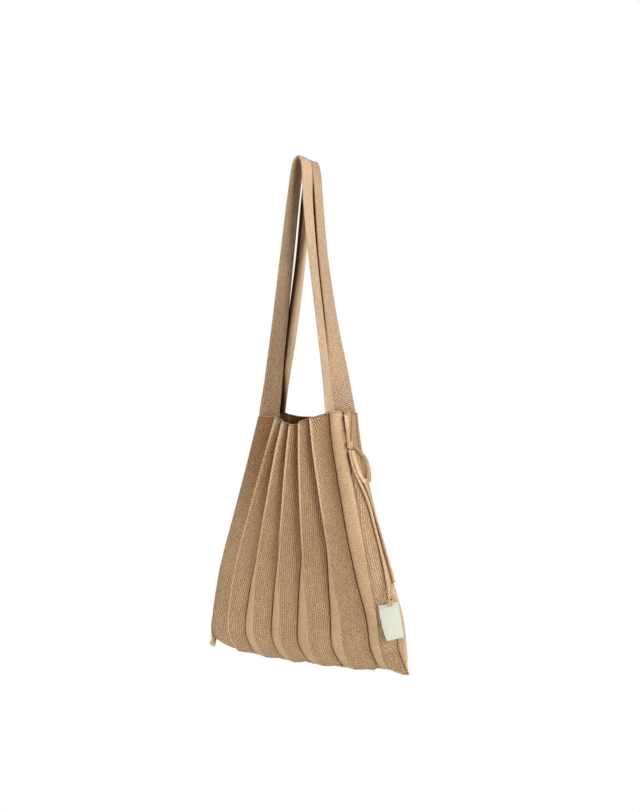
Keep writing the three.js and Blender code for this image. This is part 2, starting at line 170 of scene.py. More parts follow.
# How much lower the bands' tops get for each mm towards the front, which is gone over these drops.
TOP_TILT = 0.1
TILT_DROPS = (5, 80)
HANDLE_WIDTH = 27.5
HANDLE_THICK = 2.6

# The tie's free lengths, as routes in millimetres.
CORD = 3
TIE_ANCHOR = np.array([
    [52.8, -13, -291], [53.7, -13.9, -296.5], [54.8, -15.2, -305], [55.9, -16.3, -312.8],
    [56.7, -17, -318.2], [57.5, -17.1, -322.4],
])
TIE_LOOP = np.array([
    [61.8, -16.3, -330.4], [62.9, -16.1, -335], [65.7, -15, -345.7], [69.2, -12.4, -356.8],
    [71.6, -9.4, -362.6], [72.9, -4.6, -364.8], [73, 2, -364.6], [71.3, 8.4, -362],
    [69.2, 13, -356.6], [66.8, 15.2, -349], [64.7, 14, -341.8], [63.6, 8.2, -336.4],
    [62.8, 1.2, -332.4], [61.6, -6, -328.6], [60.8, -9.6, -326.6],
])
TIE_TAIL_LONG = np.array([
    [58.9, -18.4, -329.6], [61.2, -18, -340.2], [64, -16.4, -351.2], [67.8, -13.2, -362.4],
    [71.5, -10.2, -372.3], [75, -7.4, -382.5], [78, -5.2, -394], [82.3, -4.2, -411],
    [86.9, -3.6, -428.5], [91.5, -3.8, -445.8], [96, -4.8, -462.8], [99.5, -6.4, -477.6],
    [102.9, -10.6, -490.4],
])
TIE_TAIL_SHORT = np.array([
    [60.3, -13, -329.6], [62.9, -12.2, -339.4], [66.1, -10.1, -350.4], [69.7, -6.1, -361.6],
    [72.2, -1.2, -372], [74.2, 2.8, -382.4], [77.4, 4.6, -394], [81.6, 4.6, -407.6],
    [86.4, 4.6, -422.9], [91.8, 4.4, -440.2], [97.4, 4, -457.4], [101.2, 3.4, -469.1],
    [103.1, 3, -475.2],
])
TIE_KNOT = {"middle": (58.7, -16.5, -323.6), "facing": -16, "radius": 2.3, "tube": 1.2}
TAIL_KNOT = {"middle": (105, -13.2, -494.6), "facing": -43, "radius": 1.9, "tube": 1.0}
LABEL_PLACE = {"middle": (104.45, -10.4, -514.5), "facing": -47, "lean": 9.6, "turn": 6}
LABEL_SIZE = (24, 38, 0.8)
LABEL_CORNER = 0.8
LABEL_BOW = 0.5
# How far the label's foot is turned out about its right edge, in degrees.
LABEL_TWIST = 16


def mix(low, high, share):
    return low + (high - low) * share


def ease(value, start, end):
    """Smooth step: 0 before start, 1 after end, and 3t^2 - 2t^3 between."""
    t = np.clip((value - start) / (end - start), 0, 1)
    return t * t * (3 - 2 * t)


def bell(away, width):
    """Bell curve: exp(-(away / width)^2)."""
    return np.exp(-((away / width) ** 2))


def rotate(a, b, angle):
    """Two coordinates turned by an angle in their plane."""
    return np.cos(angle) * a - np.sin(angle) * b, np.sin(angle) * a + np.cos(angle) * b


def unit(vectors):
    return vectors / np.maximum(np.linalg.norm(vectors, axis=-1, keepdims=True), 1e-9)


def section_column(column, drop):
    """A column of SECTIONS at any drops: cubic pieces through the rows, whose tangents are the harmonic
    mean of the slopes on both sides, or flat at a peak, so that they never overshoot."""
    drops, values = SECTIONS[:, 0], SECTIONS[:, column]
    spans = np.diff(drops)
    slopes = np.diff(values) / spans
    before = np.concatenate([slopes[:1], slopes])
    after = np.concatenate([slopes, slopes[-1:]])
    total = np.where(before + after == 0, 1, before + after)
    tangents = np.where(before * after > 0, 2 * before * after / total, 0)
    i = np.clip(np.searchsorted(drops, drop, side="right") - 1, 0, len(spans) - 1)
    t = (drop - drops[i]) / spans[i]
    rise = t * t * (3 - 2 * t)
    bend = tangents[i] * t * (1 - t) ** 2 - tangents[i + 1] * t * t * (1 - t)
    return mix(values[i], values[i + 1], rise) + spans[i] * bend


def route(points, step):
    """A smooth line through points at an even step: centripetal Catmull-Rom, in which each span is
    weighted by the square root of its length. Extra columns, such as a turn, follow the same line."""
    ends = np.vstack([2 * points[:1] - points[1:2], points, 2 * points[-1:] - points[-2:-1]])
    gaps = np.sqrt(np.linalg.norm(np.diff(ends[:, :3], axis=0), axis=1))[:, None]
    lean = np.diff(ends, axis=0) / gaps
    across = (ends[2:] - ends[:-2]) / (gaps[:-1] + gaps[1:])
    slope = lean[:-1] - across + lean[1:]
    start, end = slope[:-1] * gaps[1:-1], slope[1:] * gaps[1:-1]
    t = np.linspace(0, 1, 24, endpoint=False)[None, :, None]
    a, b = points[:-1, None], points[1:, None]
    line = (
        (2 * t**3 - 3 * t**2 + 1) * a + (t**3 - 2 * t**2 + t) * start[:, None]
        + (3 * t**2 - 2 * t**3) * b + (t**3 - t**2) * end[:, None]
    ).reshape(-1, points.shape[1])
    line = np.vstack([line, points[-1:]])
    length = np.concatenate([[0], np.cumsum(np.linalg.norm(np.diff(line[:, :3], axis=0), axis=1))])
    even = np.linspace(0, length[-1], max(int(length[-1] / step), 8) + 1)
    return np.stack([np.interp(even, length, column) for column in line.T], 1), even


def swept_mesh(name, points, uv, material, ring=False, values=None):
    """A closed mesh from stations of closed loops (stations, loop, 3), in millimetres: quads between
    neighbours, and both ends shut by strips from side to side unless the stations form a ring. uv has
    one more column than the loop. values are named numbers at each point."""
    stations, loop, _ = points.shape
    count = stations if ring else stations - 1
    s, k = np.mgrid[0:count, 0:loop]
    after, beside = (s + 1) % stations, (k + 1) % loop
    quads = np.stack([s * loop + k, after * loop + k, after * loop + beside, s * loop + beside], -1)
    wide = loop + 1
    corners = np.stack([s * wide + k, after * wide + k, after * wide + k + 1, s * wide + k + 1], -1)
    quads, corners = quads.reshape(-1, 4), corners.reshape(-1, 4)
    if not ring:
        k = np.arange(loop // 2 - 1)
        cap = np.stack([k, k + 1, loop - 2 - k, loop - 1 - k], -1)
        last = (stations - 1) * loop
        lift = (stations - 1) * wide
        quads = np.vstack([quads, cap, cap[:, ::-1] + last])
        corners = np.vstack([corners, cap, cap[:, ::-1] + lift])
    flat = points.reshape(-1, 3) * MM
    a, b, c, d = (flat[quads[:, i]] for i in range(4))
    volume = np.einsum("ij,ij->", a, np.cross(b, c) + np.cross(c, d))
    if volume < 0:
        quads, corners = quads[:, ::-1], corners[:, ::-1]
    mesh = bpy.data.meshes.new(name)
    mesh.from_pydata(flat.tolist(), [], quads.tolist())
    layer = mesh.uv_layers.new(name="cloth")
    layer.data.foreach_set("uv", uv.reshape(-1, 2)[corners.reshape(-1)].ravel().astype(np.float32))
    for label, numbers in (values or {}).items():
        tone = mesh.attributes.new(label, "FLOAT", "POINT")
        tone.data.foreach_set("value", numbers.astype(np.float32).ravel())
    mesh.polygons.foreach_set("use_smooth", np.ones(len(quads), dtype=bool))
    mesh.materials.append(material)
    mesh.update()
    piece = bpy.data.objects.new(name, mesh)
    bpy.context.scene.collection.objects.link(piece)
    return piece


def keep(piece, node):
    """Ties a piece to the bag and hides the solid that it stands for."""
    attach(piece, "root")
    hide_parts(node)
    return piece


# Body


STRIP_STEPS = 12
FACE_STEPS = 28
ROWS = np.concatenate([np.linspace(0, 246, 84)[:-1], np.linspace(246, BODY_DROP, 37)])
OUTLINE_STEPS = 1440
# The folds of a row in order: one of the panel before, the panel's own, and two of the panel after. Then the
# places in that row of the soft roll and of the ridge where the rim steps up.
FOLD_ORDER = np.arange(-1, len(FOLDS) + 2)
ROLL = -3
STEP_RIDGE = -5
# The cloth's own coordinate starts this far on at each fold.
FOLD_SPACING = 60


def outlines(drop):
    """Plan outlines at all drops: superellipses |x/a|^n + |y/b|^n = 1, from the left end along the front
    to the right end and back, one and a half times round. Gives x, y, the length along the outline from the
    left end, and half of the whole length."""
    half_width = section_column(HALF_WIDTH, drop)[:, None]
    half_depth = section_column(HALF_DEPTH, drop)[:, None]
    power = 2 / section_column(SQUARENESS, drop)[:, None]
    shift = section_column(SHIFT, drop)[:, None]
    angle = np.linspace(-0.5, 2.5, 3 * OUTLINE_STEPS + 1)[None] * np.pi + np.pi
    across, along = np.cos(angle), np.sin(angle)
    y = half_depth * np.sign(along) * np.abs(along) ** power
    x = half_width * np.sign(across) * np.abs(across) ** power + shift
    x = x + MOUTH_SKEW * np.exp(-drop[:, None] / SKEW_FADE) * y
    dx, dy = np.diff(x, axis=1), np.diff(y, axis=1)
    length = np.concatenate([np.zeros((len(drop), 1)), np.cumsum(np.hypot(dx, dy), axis=1)], 1)
    half = length[:, 3 * OUTLINE_STEPS // 2] - length[:, OUTLINE_STEPS // 2]
    length = length - length[:, OUTLINE_STEPS // 2][:, None]
    return x, y, length, half


def fold_lines(drop, half):
    """Where ridges and valleys lie, in millimetres round the body, the valleys' depths and the strips' bows,
    with folds of the neighbouring panels at both ends."""
    spread = np.minimum(drop / PLEAT_END, 1)[:, None]
    fanned = 1 - (1 - spread) ** PLEAT_SPREAD
    rows, turn = FOLDS[FOLD_ORDER % len(FOLDS)], FOLD_ORDER // len(FOLDS)
    ridge = (turn + mix(rows[:, 0], rows[:, 1], fanned)) * half[:, None]
    swing = SWING * np.clip((drop - SWING_START) / (BODY_DROP - SWING_START), 0, 1)[:, None] ** 2
    ridge = ridge + swing
    valley = ridge - mix(rows[:, 2], rows[:, 3], ease(spread, TUCK_START, TUCK_END))
    shallow = np.minimum(section_column(HALF_DEPTH, drop) / FULL_DEPTH, 1)[:, None]
    below_rim = mix(RIM_SHARE, 1, ease(drop, 0, RIM_REACH))[:, None]
    depth = mix(rows[:, 4], rows[:, 5], spread) * shallow * below_rim
    return ridge, valley, depth, STRIP_BOWS[FOLD_ORDER % len(FOLDS)]


def fold_depths(place, ridge, valley, depth, bow, drop):
    """How far in the wall lies at each place of one row: bowed strips and faces between ridges and
    valleys, with each kink w|x| rounded to w sqrt(x^2 + r^2)."""
    strip_middle = (ridge[:-1] + valley[:-1]) / 2
    face_middle = (ridge[:-1] + valley[1:]) / 2
    kinks = np.stack([valley[:-1], strip_middle, ridge[:-1], face_middle], 1).ravel()
    heights = np.stack([depth[:-1], depth[:-1] * bow[:-1], 0 * ridge[:-1], depth[1:] * FACE_BOW], 1).ravel()
    round_strip = np.where(bow[:-1] < STRIP_BOWS.max(), ROLL_ROUND, STRIP_ROUND)
    same = np.ones_like(round_strip)
    round_ridge = mix(*RIDGE_ROUNDS, drop / BODY_DROP) * same
    radii = np.stack([VALLEY_ROUND * same, round_strip, round_ridge, FACE_ROUND * same], 1).ravel()
    slopes = np.diff(heights) / np.diff(kinks)
    weight = np.diff(slopes) / 2
    away = place[:, None] - kinks[None, 1:-1]
    rounding = weight * (np.sqrt(away**2 + radii[None, 1:-1] ** 2) - np.abs(away))
    return np.interp(place, kinks, heights) + rounding.sum(1)


def sag(x, y):
    """How far the rim sags at points of the outline: a squared cosine along X, gone at the sides, and a
    step down to the left handle."""
    front = (y < 0)[None]
    depth, middle, left, right = np.where(front, np.array(FRONT_SAG)[:, None], np.array(BACK_SAG)[:, None])
    reach = np.where(x < middle, left, right)
    away = np.minimum(np.abs(x - middle) / reach, 1)
    dip = depth * np.cos(away * np.pi / 2) ** 2 + LEFT_SAG * ease(-x, *LEFT_SAG_PLACES) * (y < 0)
    return dip * ease(np.abs(y), 0, DIP_SIDES * SECTIONS[0, HALF_DEPTH])


def rim_arches(place, ridge, valley):
    """How far the rim rises above its sag: half sine waves over the roll and the side beyond it, and a
    step at the fifth ridge that fades along the face behind it."""
    roll = np.clip((place - valley[ROLL]) / (ridge[ROLL] - valley[ROLL]), 0, 1)
    side = np.clip((place - ridge[ROLL]) / SIDE_ARCH, 0, 1)
    behind = place - ridge[STEP_RIDGE]
    step = STEP_RISE * ease(behind, -STEP_EDGE, STEP_EDGE) * (1 - ease(behind, *STEP_FADE))
    return ROLL_RISE * np.sin(np.pi * roll) + SIDE_RISE * np.sin(np.pi * side) + step


def clustered(steps):
    """Shares from 0 to just under 1, closer together near both ends: half of 1 - cos."""
    return (1 - np.cos(np.linspace(0, np.pi, steps, endpoint=False))) / 2


def corner_lift(across, fallen, in_ear):
    """How far the bottom corners hang above the middle: by the square of the way across, with the left
    corner raised, except for the ear behind it, and the right corner's notch and tip."""
    lift = np.where(across < 0, LEFT_LIFT, RIGHT_LIFT) * across**2 * fallen**2
    low = fallen**8
    raised = CORNER_LIFT * ease(-across, *CORNER_SHARES)
    ear = np.where(in_ear > 0, -EAR_DROP * np.sin(np.pi * in_ear), raised)
    notch = NOTCH_LIFT * bell(across - NOTCH_SHARE, NOTCH_WIDTH)
    tip = TIP_DROP * ease(across, *TIP_SHARES)
    return lift + (ear + notch - tip) * low


# Painted shade of the panels, where 1 is the full painted shade of a fold and more turns black. On the strips
# beside their valleys, and on the faces: by a power of the way to the next valley, and a little behind the
# ridge.
STRIP_SHADE = 0.6
FACE_POWERS = (1.1, 2.4)
FACE_POWER_DROPS = (60, 220)
BEHIND_RIDGE = 0.28
BEHIND_RIDGE_DROPS = (60, 160)
# Painted shade on the upper left faces, and fainter on the middle ones, up to these shares of the way across.
LEFT_SHADE = 0.45
LEFT_SHARES = (0.3, 0.4)
MIDDLE_SHADE = 0.25
MIDDLE_SHARES = (0.5, 0.62)
UPPER_DROPS = (20, 170)
# Painted shade in the groove, and the painted shade of a crease beside the tie, whose distance from the
# roll's ridge goes from the first to the second over this drop.
CREASE_SHADE = 0.95
GROOVE_SHADE_DROPS = (50, 160)
TIE_CREASE_PLACES = (17, 6.5)
TIE_CREASE_DROP = 32
TIE_CREASE_WIDTH = 1.8
TIE_CREASE_DROPS = (26, 40)
# Painted shade in the valleys, which is fainter over these shares of the way down, and how wide their creases
# are.
VALLEY_SHADE = 1.5
VALLEY_WIDTH = 1.1
VALLEY_LOSS = 0.6
VALLEY_LOSS_SHARES = (0.7, 1.0)
CREASE_WIDTH = 0.7
# The ridges' edges, with their painted highlights, and the shares of the way down over which these go from
# the mouth's brightness to the bottom's.
RIDGE_WIDTH = 1.1
RIDGE_HIGHLIGHT_SHARES = (0.25, 0.7)
# The painted highlight along the roll's crest: how much lighter it makes the cloth, and where it lies from
# the roll's ridge.
ROLL_GLEAM = 0.15
CREST_PLACES = (-7, 6)
CREST_PLACE_DROPS = (20, 170)
CREST_WIDTH = 4.5
CREST_DROPS = (180, 250)
# Painted shade on the inside, and the painted shadow of the tie on the cloth beside it.
INSIDE_SHADE = 1.1
INSIDE_SHADE_DROPS = (120, 250)
TIE_SHADE = 0.75
TIE_SHADE_WIDTH = 2.0
TIE_SHADOW = np.array([-1.5, -0.9, -1.4])


def face_shade(fold, drop, strip, face):
    """How much painted shade a strip and the face behind it get: the strip by the sixth power of the way back
    to its valley, the face by a power of the way to the next valley, which grows downwards, and by the square
    of the way back to the ridge."""
    darkest = mix(*PAINTED_FACE_SHADES[fold], drop / BODY_DROP)
    towards_valley = darkest * face ** mix(*FACE_POWERS, ease(drop, *FACE_POWER_DROPS))
    behind_ridge = BEHIND_RIDGE * (1 - face) ** 2 * ease(drop, *BEHIND_RIDGE_DROPS)
    return np.concatenate([STRIP_SHADE * (1 - strip) ** 6, towards_valley + behind_ridge])


def fold_row(ridge, valley, drop):
    """One row of a panel, fold by fold, each a strip from its valley to its ridge and a face to the next
    valley: the places round the body, the cloth's own coordinate across, which counts from the ridge, is
    gathered at the mouth and slants on the way down, whether the knit is smooth, and its painted shade."""
    strip, face = clustered(STRIP_STEPS), clustered(FACE_STEPS)
    places, across, smooth, shade = [], [], [], []
    for fold in range(len(FOLDS)):
        here = fold + 1
        before, behind = valley[here] - ridge[here], valley[here + 1] - ridge[here]
        away = np.concatenate([before * (1 - strip), behind * face])
        places.append(ridge[here] + away)
        at_top, at_bottom = RIB_SLANTS[fold]
        slanted = at_top * drop + (at_bottom - at_top) * drop**2 / (2 * BODY_DROP)
        gathered = 1 + RIB_GATHERS[fold] * (1 - drop / BODY_DROP) ** 2
        across.append(away * RIB_SHARES[fold] * gathered + FOLD_SPACING * here + slanted)
        smooth.append(away < 0)
        shade.append(face_shade(fold, drop, strip, face))
    places.append(valley[-2:-1])
    across.append(across[-1][-1:] + 1)
    smooth.append(np.array([False]))
    shade.append(np.array([STRIP_SHADE]))
    return [np.concatenate(parts) for parts in (places, across, smooth, shade)]


def row_tones(place, half, ridge, valley, shade, drop):
    """Tones along one row, as bell curves of the distance: the painted shade, which is the most of the faces'
    painted shade, the creases' and the valleys'; how near a ridge and a valley are; the painted highlights on
    the ridges' edges; and the painted highlight on the roll's crest."""
    fallen = drop / BODY_DROP
    roll = ridge[ROLL]
    share = place / half
    upper = LEFT_SHADE * (1 - ease(share, *LEFT_SHARES)) + MIDDLE_SHADE * (1 - ease(share, *MIDDLE_SHARES))
    upper = upper * (1 - ease(drop, *UPPER_DROPS))
    tie_crease = roll + mix(*TIE_CREASE_PLACES, min(drop / TIE_CREASE_DROP, 1))
    beside_tie = bell(place - tie_crease, TIE_CREASE_WIDTH) * (1 - ease(drop, *TIE_CREASE_DROPS))
    in_groove = bell(place - roll - GROOVE_PLACE, GROOVE_WIDTH) * (1 - ease(drop, *GROOVE_SHADE_DROPS))
    creases = CREASE_SHADE * np.maximum(beside_tie, in_groove)
    to_valley = np.abs(place[:, None] - valley[None]).min(1)
    in_valley = VALLEY_SHADE * bell(to_valley, VALLEY_WIDTH)
    in_valley = in_valley * (1 - VALLEY_LOSS * ease(fallen, *VALLEY_LOSS_SHARES))
    at_ridge = bell(place[:, None] - ridge[None], RIDGE_WIDTH)
    shine = mix(*RIDGE_HIGHLIGHTS[FOLD_ORDER % len(FOLDS)].T, ease(fallen, *RIDGE_HIGHLIGHT_SHARES))
    crest = roll + mix(*CREST_PLACES, ease(drop, *CREST_PLACE_DROPS))
    return {
        "shade": np.maximum(np.maximum(shade + upper, creases), in_valley),
        "ridge": at_ridge.max(1),
        "valley": bell(to_valley, CREASE_WIDTH),
        "light": (at_ridge * shine).max(1),
        "gleam": ROLL_GLEAM * bell(place - crest, CREST_WIDTH) * (1 - ease(drop, *CREST_DROPS)),
    }


def panel_middle(panel):
    """The middle surface of a panel on a grid of rows (drop) and columns (along the folds): the point of
    the outline at each place, moved in along the outline's normal by the fold's depth and the groove's, down
    by the rim's sag, and up at the bottom's corners and scallops. Also the cloth's own coordinate across, in
    millimetres, how smooth the knit is, and the tones, as grids of the same size."""
    x, y, length, half = outlines(ROWS)
    ridges, valleys, depths, bow = fold_lines(ROWS, half)
    rows = []
    for row, drop in enumerate(ROWS):
        ridge, valley, deepest = ridges[row], valleys[row], depths[row].max()
        place, across, smooth, shade = fold_row(ridge, valley, drop)
        inset = fold_depths(place, ridge, valley, depths[row], bow, drop)
        groove = GROOVE_DEPTH * (1 - GROOVE_LOSS * ease(drop, *GROOVE_DROPS))
        groove = groove * min(deepest / GROOVE_FOLDS, 1)
        inset = inset + groove * bell(place - ridge[ROLL] - GROOVE_PLACE, GROOVE_WIDTH)
        round_body = place + panel * half[row]
        ahead = round_body + 0.5
        px, py = np.interp(round_body, length[row], x[row]), np.interp(round_body, length[row], y[row])
        tx, ty = np.interp(ahead, length[row], x[row]) - px, np.interp(ahead, length[row], y[row]) - py
        size = np.hypot(tx, ty)
        fallen = drop / BODY_DROP
        dip = sag(px, py) * (1 - fallen) ** DIP_FADE
        dip = dip - rim_arches(place, ridge, valley) * (1 - ease(drop, 0, ARCH_DROP))
        px, py = px - ty / size * inset, py + tx / size * inset
        scallop = SCALLOP * (inset / max(deepest, 0.1)) ** 2 * ease(drop, SCALLOP_START, SCALLOP_END)
        across_body = (px - SECTIONS[-1, SHIFT]) / SECTIONS[-1, HALF_WIDTH]
        in_ear = np.zeros(len(place))
        in_ear[:STRIP_STEPS] = (1 - panel) * mix(*EAR_ARCH, clustered(STRIP_STEPS))
        lift = corner_lift(across_body, fallen, in_ear)
        px = px + CORNER_IN * fallen**8 * ease(-across_body, *CORNER_IN_SHARES) * (in_ear == 0)
        tones = row_tones(place, half[row], ridge, valley, shade, drop)
        points = np.stack([px, py, MOUTH_HEIGHT - drop - dip + lift + scallop], -1)
        rows.append({"points": points, "across": across, "smooth": smooth.astype(float), **tones})
    return {key: np.stack([row[key] for row in rows]) for key in rows[0]}


# Points of the rim's half circle, and how far above the first row their cloth lies.
RIM_STEPS = 7
RIM_ABOVE = 0.8


def tie_shade(points):
    """The painted shadow of the tie on the cloth beside it: a bell curve of the distance from the tie's
    routes moved to their shaded side."""
    tables = (TIE_ANCHOR, TIE_LOOP, TIE_TAIL_LONG, TIE_TAIL_SHORT)
    shaded = np.vstack([route(table, step=2.5)[0] for table in tables]) + TIE_SHADOW
    flat = points.reshape(-1, 3)
    gap = np.stack([np.linalg.norm(flat - place, axis=1) for place in shaded]).min(0)
    return TIE_SHADE * bell(gap, TIE_SHADE_WIDTH).reshape(points.shape[:2])


def knit_panel(name, panel, material):
    """A panel of the body: its middle surface moved out and in along its normals by half the wall, the
    two sides joined over the rim by a half circle. Each column is one closed loop, up the outside, over
    the rim and down the inside."""
    grid = panel_middle(panel)
    middle = grid["points"]
    down, over = np.gradient(middle, axis=0), np.gradient(middle, axis=1)
    normal = unit(np.cross(down, over))
    half = WALL / 2
    edge = RIDGE_EDGE * grid["ridge"] - CREASE * grid["valley"]
    outer, inner = middle + normal * (half + edge)[..., None], middle - normal * half
    angle = np.linspace(0, np.pi, RIM_STEPS + 2)[1:-1, None, None]
    up = unit(-down[:1])
    rim = middle[:1] + half * (np.cos(angle) * normal[:1] + np.sin(angle) * up)
    loops = np.concatenate([outer[::-1], rim, inner], 0).transpose(1, 0, 2)

    def round_loop(outside, at_rim, inside):
        return np.concatenate([outside[::-1], np.repeat(at_rim, RIM_STEPS, 0), inside], 0).T

    drops = np.repeat(ROWS[:, None], middle.shape[1], 1)
    # Painted shade on the inside, fading out lower down, and the tie's painted shadow on the outside.
    inside_shade = INSIDE_SHADE * (1 - ease(drops, *INSIDE_SHADE_DROPS))
    grid["shade"] = np.maximum(grid["shade"], tie_shade(outer))
    across = round_loop(grid["across"], grid["across"][:1], grid["across"])
    along = round_loop(drops, drops[:1] - RIM_ABOVE, drops)
    uv = np.stack([across, along], -1)
    uv = np.concatenate([uv, uv[:, :1]], 1)
    # Painted highlights on the ridges and the roll's crest, and painted shade, as numbers at each point.
    values = {
        "smooth_knit": round_loop(grid["smooth"], grid["smooth"][:1], grid["smooth"]),
        "painted_ridge_highlight": round_loop(grid["light"], grid["light"][:1], 0 * grid["light"]),
        "painted_gleam": round_loop(grid["gleam"], grid["gleam"][:1], 0 * grid["gleam"]),
        "painted_shade": round_loop(grid["shade"], 0 * grid["shade"][:1], 0 * grid["shade"] + inside_shade),
    }
    return swept_mesh(name, loops, uv, material, values=values)


# Painted shade and highlights of the handles, as on the panels. Pairs of drops are below the top, and widths
# and
# reaches are shares of a band's half width. Both bands, whose legs are left where they lie this far to the
# left:
LEFT_PLACES = (3, 9)
LEG_DROPS = (90, 290)
TOP_DROPS = (60, 160)
# The front band: painted shade along its back edge near the top and down its left leg, and painted highlights
# along its right foot's back edge and on its right leg's top.
TOP_EDGE_SHADE = 2.6
TOP_EDGE_WIDTH = 0.16
LEFT_LEG_SHADE = 0.5
FOOT_EDGE_WIDTH = 0.12
FOOT_EDGE_DROPS = (190, 230)
TOP_GLEAM = 0.12
# The back band: painted shade on its right leg, a painted shadow line along that leg's front edge, and
# painted shade and a painted highlight on the inner side of its left leg.
RIGHT_LEG_SHADE = 0.18
GAP_SHADOW = 3.0
GAP_SHADOW_WIDTH = 0.18
GAP_SHADOW_DROPS = (160, 240)
LEFT_FOOT_SHADES = (2.0, 4.0)
LEFT_FOOT_REACHES = (0.42, 1.7)
LEFT_FOOT_DROPS = (235, 290)
INNER_GLEAM = 0.6


def band_tones(front, share, inner, height, left):
    """How much painted shade and painted highlight a handle gets. The share goes from -1 at its front edge to
    1 at its back edge, inner is 1 on the side towards the other leg, and left is 1 on the left leg. The front
    band has painted shade along its back edge near the top and down its left leg, and painted highlights on
    its right leg near the top and along the foot's back edge. The back band has a painted shadow along its
    right leg's front edge, and painted shade inside its left leg, over more of its width towards the foot,
    with a painted highlight higher up there. Edges are bell curves."""
    low = ease(-height, *LEG_DROPS)
    near_top = 1 - ease(-height, *TOP_DROPS)
    if front:
        beside = TOP_EDGE_SHADE * bell(1 - share, TOP_EDGE_WIDTH) * near_top
        shade = mix(beside, LEFT_LEG_SHADE * low, left)
        edge = bell(1 - share, FOOT_EDGE_WIDTH) * ease(-height, *FOOT_EDGE_DROPS) * (1 - left)
        return shade, np.maximum(edge, TOP_GLEAM * (1 - left) * near_top)
    reach = mix(*LEFT_FOOT_REACHES, ease(-height, *LEFT_FOOT_DROPS))
    foot = inner * mix(*LEFT_FOOT_SHADES, low) * bell(share + 1, reach)
    gap_shadow = GAP_SHADOW * bell(share + 1, GAP_SHADOW_WIDTH) * (1 - ease(-height, *GAP_SHADOW_DROPS))
    shade = mix(RIGHT_LEG_SHADE + gap_shadow, foot, left)
    return shade, INNER_GLEAM * inner * left * (1 - low) * (1 - np.minimum(foot, 1))


def band(name, table, material, front, sides=48):
    """A flat knit band along a table of sections: a rounded strip, |w/a|^6 + |t/b|^2 = 1, carried along the
    route with its width turned as the table says."""
    line, along = route(table, step=2.0)
    middle, turn = line[:, :3], np.radians(line[:, 3])
    ahead = unit(np.gradient(middle, axis=0))
    width = np.stack([np.cos(turn), np.sin(turn), 0 * turn], -1)
    width = unit(width - ahead * (width * ahead).sum(-1, keepdims=True))
    through = np.cross(ahead, width)
    angle = np.linspace(0, 2 * np.pi, sides, endpoint=False) + np.pi / sides
    share = np.sign(np.cos(angle)) * np.abs(np.cos(angle)) ** (1 / 3)
    side = HANDLE_WIDTH / 2 * share
    thick = HANDLE_THICK / 2 * np.sin(angle)
    points = middle[:, None] + width[:, None] * side[None, :, None]
    points = points + through[:, None] * thick[None, :, None]
    height = middle[:, 2:]
    points[..., 2] += TOP_TILT * points[..., 1] * (1 - ease(-height, *TILT_DROPS))
    steps = np.hypot(np.diff(side, append=side[:1]), np.diff(thick, append=thick[:1]))
    across = np.concatenate([[0], np.cumsum(steps)])
    uv = np.stack(np.broadcast_arrays(across[None, :], along[:, None]), -1)
    left = ease(-middle[:, :1], *LEFT_PLACES)
    inner = ease(-np.sin(angle), -0.3, 0.3)
    # Painted shade and painted highlights, as numbers at each point.
    shade, gleam = band_tones(front, share, inner, height, left)
    return swept_mesh(name, points, uv, material, values={"painted_shade": shade, "painted_gleam": gleam})


def side_frame(middle, reference):
    """Two directions square to a line: the first as near to the reference as it can be."""
    ahead = unit(np.gradient(middle, axis=0))
    first = unit(reference - ahead * (ahead * reference).sum(-1, keepdims=True))
    return first, np.cross(ahead, first)


# The tie's width: its directions on the bag's side and towards the front, the shares of a length over which
# it turns and narrows, and its least half thickness.
ACROSS_SIDE = np.array([0.34, 0.94, 0.0])
ACROSS_FRONT = np.array([0.88, 0.47, 0.0])
TIE_TURN_SHARES = (0.4, 0.65)
TIE_WIDTH_SHARES = (0.0, 0.8)
TIE_THIN = 0.5


def tie_cord(name, points, material, half_widths, far_side, sides=14):
    """A soft cord: an ellipse carried along a smooth route, lying flat on the bag's side and turned to the
    far side's direction halfway. Its half width goes from the first to the second by a smooth step, and
    its half thickness keeps the girth."""
    middle, along = route(points, step=0.8)
    share = along / along[-1]
    turned = ease(share, *TIE_TURN_SHARES)[:, None]
    first, second = side_frame(middle, mix(ACROSS_SIDE, far_side, turned))
    wide = mix(*half_widths, ease(share, *TIE_WIDTH_SHARES))[:, None, None]
    thick = np.maximum(CORD - wide, TIE_THIN)
    angle = np.linspace(0, 2 * np.pi, sides, endpoint=False)[None, :, None]
    loops = middle[:, None] + wide * np.cos(angle) * first[:, None]
    loops = loops + thick * np.sin(angle) * second[:, None]
    across = np.linspace(0, np.pi * CORD, sides + 1)
    uv = np.stack(np.broadcast_arrays(across[None, :], along[:, None]), -1)
    return swept_mesh(name, loops, uv, material), middle


# Girth and length of the tie in a knot, for its stitches.
KNOT_GIRTH = 9
KNOT_LENGTH = 60


def tie_knot(name, knot, material, steps=120, sides=12):
    """A closed overhand knot: a circle carried along the (2, 3) torus knot, turned to face outwards."""
    t = np.linspace(0, 4 * np.pi, steps, endpoint=False)
    reach = knot["radius"] * (2 + np.cos(1.5 * t)) / 2
    depth, up = knot["radius"] * np.sin(1.5 * t) / 2, -(reach * np.cos(t))
    x, y = rotate(depth, reach * np.sin(t), np.radians(knot["facing"]))
    middle = np.stack([x, y, up], -1) + np.array(knot["middle"])
    ahead = unit(np.roll(middle, -1, 0) - np.roll(middle, 1, 0))
    out = unit(middle - middle.mean(0))
    first = unit(out - ahead * (out * ahead).sum(-1, keepdims=True))
    second = np.cross(ahead, first)
    angle = np.linspace(0, 2 * np.pi, sides, endpoint=False)[None, :, None]
    round_tube = np.cos(angle) * first[:, None] + np.sin(angle) * second[:, None]
    loops = middle[:, None] + knot["tube"] * round_tube
    across, along = np.linspace(0, KNOT_GIRTH, sides + 1), np.linspace(0, KNOT_LENGTH, steps)
    uv = np.stack(np.meshgrid(across, along), -1)
    return swept_mesh(name, loops, uv, material, ring=True)


